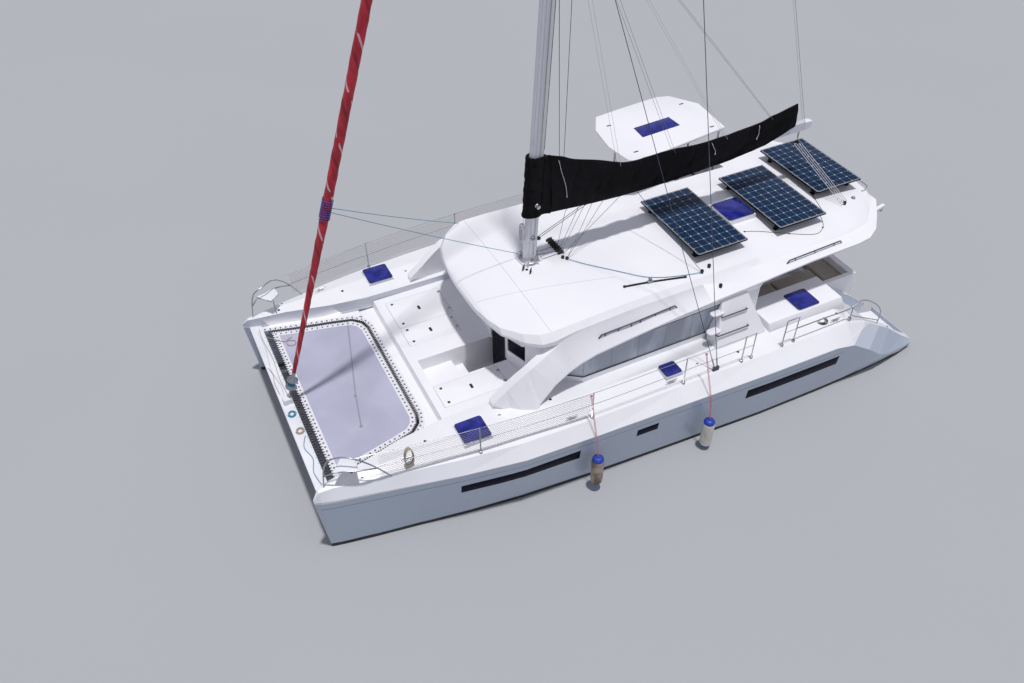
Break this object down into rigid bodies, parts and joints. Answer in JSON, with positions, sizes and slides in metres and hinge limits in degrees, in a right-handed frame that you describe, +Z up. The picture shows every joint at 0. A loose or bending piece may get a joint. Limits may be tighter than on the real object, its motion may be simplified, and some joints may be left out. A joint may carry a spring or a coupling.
{
  "type": "sailing catamaran",
  "caption": "Cruising sailing catamaran afloat, with forward cockpit, raised helm under a hardtop, boom with sail bag, furled headsail, solar panels, davits and opening hatches.",
  "frame": {"origin": "on the waterline plane, on the centreline, half way between the stems and the stern tips", "axes": "+X to the bows, +Y to port, +Z up"},
  "size_m": [14.26, 7.532, 21.9586],
  "materials": {
    "gelcoat": "glossy",
    "beige": "satin",
    "glass": "dark tinted",
    "tint": "violet-blue tinted",
    "steel": "polished",
    "alloy": "anodised",
    "net": "woven",
    "canvas": "matt",
    "red": "matt",
    "panel": "dark cells under glass",
    "cushion": "matt",
    "bronze": "satin",
    "fender": "soft vinyl"
  },
  "bodies": {
    "boat": {"port_hull": "gelcoat", "starboard_hull": "gelcoat", "bridgedeck": "gelcoat", "cabin_walls": "gelcoat", "aft_bulkhead": "gelcoat", "coachroof": "gelcoat", "port_coaming": "gelcoat", "starboard_coaming": "gelcoat", "boarding_steps": "gelcoat", "helm_station": "gelcoat", "helm_roof": "gelcoat", "davits": "gelcoat", "cockpit_table": "beige", "saloon_furniture": "beige", "front_window_starboard": "glass", "front_window_port": "glass", "port_side_window": "glass", "starboard_side_window": "glass", "helm_roof_frame": "steel", "port_pulpit": "steel", "starboard_pulpit": "steel", "port_lifelines": "steel", "starboard_lifelines": "steel", "port_pushpit": "steel", "starboard_pushpit": "steel", "furler_drum": "steel", "port_shrouds": "steel", "starboard_shrouds": "steel", "crossbeam": "alloy", "mast": "alloy", "trampoline": "net", "mast_collar": "canvas", "furled_headsail": "red", "solar_panel_1": "panel", "solar_panel_2": "panel", "solar_panel_3": "panel", "cockpit_seat": "cushion", "helm_seat": "cushion", "port_sail_drive": "bronze", "starboard_sail_drive": "bronze", "fender_forward": "fender", "fender_aft": "fender"},
    "boom": {"boom": "alloy", "sail_bag": "canvas"},
    "port_rudder": {"port_rudder": "gelcoat"},
    "starboard_rudder": {"starboard_rudder": "gelcoat"},
    "steering_wheel": {"steering_wheel": "steel"},
    "port_propeller": {"port_propeller": "bronze"},
    "starboard_propeller": {"starboard_propeller": "bronze"},
    "forward_door": {"forward_door": "glass"},
    "aft_sliding_door": {"aft_sliding_door": "glass"},
    "starboard_outer_locker_lid": {"starboard_outer_locker_lid": "gelcoat"},
    "starboard_inner_locker_lid": {"starboard_inner_locker_lid": "gelcoat"},
    "port_locker_lid": {"port_locker_lid": "gelcoat"},
    "port_bow_hatch": {"port_bow_hatch": "tint"},
    "starboard_bow_hatch": {"starboard_bow_hatch": "tint"},
    "port_side_hatch": {"port_side_hatch": "tint"},
    "starboard_side_hatch": {"starboard_side_hatch": "tint"},
    "roof_hatch": {"roof_hatch": "tint"},
    "aft_hatch": {"aft_hatch": "tint"}
  },
  "joints": [
    {"name": "boom_swing", "type": "hinge", "parent": "boat", "child": "boom", "pos_m": [0.9444, 0, 4.27], "axis": [-0.0593, 0, 0.9982], "range_deg": [-46, 46]},
    {"name": "port_rudder_turn", "type": "hinge", "parent": "boat", "child": "port_rudder", "pos_m": [-5.56, 2.7, -0.5], "axis": [0, 0, 1], "range_deg": [-35, 35]},
    {"name": "starboard_rudder_turn", "type": "hinge", "parent": "boat", "child": "starboard_rudder", "pos_m": [-5.56, -2.7, -0.5], "axis": [0, 0, 1], "range_deg": [-35, 35]},
    {"name": "wheel_turn", "type": "hinge", "parent": "boat", "child": "steering_wheel", "pos_m": [-3.25, -1.85, 2.75], "axis": [1, 0, 0], "range_deg": [-420, 420]},
    {"name": "port_propeller_spin", "type": "hinge", "parent": "boat", "child": "port_propeller", "pos_m": [-4.42, 2.7, -1.01], "axis": [1, 0, 0], "continuous": true},
    {"name": "starboard_propeller_spin", "type": "hinge", "parent": "boat", "child": "starboard_propeller", "pos_m": [-4.42, -2.7, -1.01], "axis": [1, 0, 0], "continuous": true},
    {"name": "forward_door_swing", "type": "hinge", "parent": "boat", "child": "forward_door", "pos_m": [2.22, 0.902, 1.5], "axis": [0, 0, 1], "range_deg": [0, 95]},
    {"name": "aft_door_slide", "type": "slide", "parent": "boat", "child": "aft_sliding_door", "axis": [0, -1, 0], "range_m": [0, 0.85]},
    {"name": "starboard_outer_lid_lift", "type": "hinge", "parent": "boat", "child": "starboard_outer_locker_lid", "pos_m": [2.62, -1.35, 1.5], "axis": [0, -1, 0], "range_deg": [0, 70]},
    {"name": "starboard_inner_lid_lift", "type": "hinge", "parent": "boat", "child": "starboard_inner_locker_lid", "pos_m": [2.7, -0.575, 1.5], "axis": [0, -1, 0], "range_deg": [0, 70]},
    {"name": "port_lid_lift", "type": "hinge", "parent": "boat", "child": "port_locker_lid", "pos_m": [2.5, 1.345, 1.5], "axis": [0, -1, 0], "range_deg": [0, 70]},
    {"name": "port_bow_hatch_lift", "type": "hinge", "parent": "boat", "child": "port_bow_hatch", "pos_m": [4, 2.595, 1.7123], "axis": [0, 1, 0], "range_deg": [0, 75]},
    {"name": "starboard_bow_hatch_lift", "type": "hinge", "parent": "boat", "child": "starboard_bow_hatch", "pos_m": [4, -2.595, 1.7123], "axis": [0, 1, 0], "range_deg": [0, 75]},
    {"name": "port_side_hatch_lift", "type": "hinge", "parent": "boat", "child": "port_side_hatch", "pos_m": [-0.24, 2.88, 1.7003], "axis": [0, 1, 0], "range_deg": [0, 75]},
    {"name": "starboard_side_hatch_lift", "type": "hinge", "parent": "boat", "child": "starboard_side_hatch", "pos_m": [-0.24, -2.88, 1.7003], "axis": [0, 1, 0], "range_deg": [0, 75]},
    {"name": "roof_hatch_lift", "type": "hinge", "parent": "boat", "child": "roof_hatch", "pos_m": [-3.11, 0.505, 3.1203], "axis": [0, 1, 0], "range_deg": [0, 75]},
    {"name": "aft_hatch_lift", "type": "hinge", "parent": "boat", "child": "aft_hatch", "pos_m": [-3.72, 2.49, 1.8503], "axis": [0, 1, 0], "range_deg": [0, 75]}
  ],
  "couplings": [
    {"joint": "starboard_rudder_turn", "follows": "port_rudder_turn", "ratio": 1},
    {"joint": "wheel_turn", "follows": "port_rudder_turn", "ratio": 12}
  ]
}
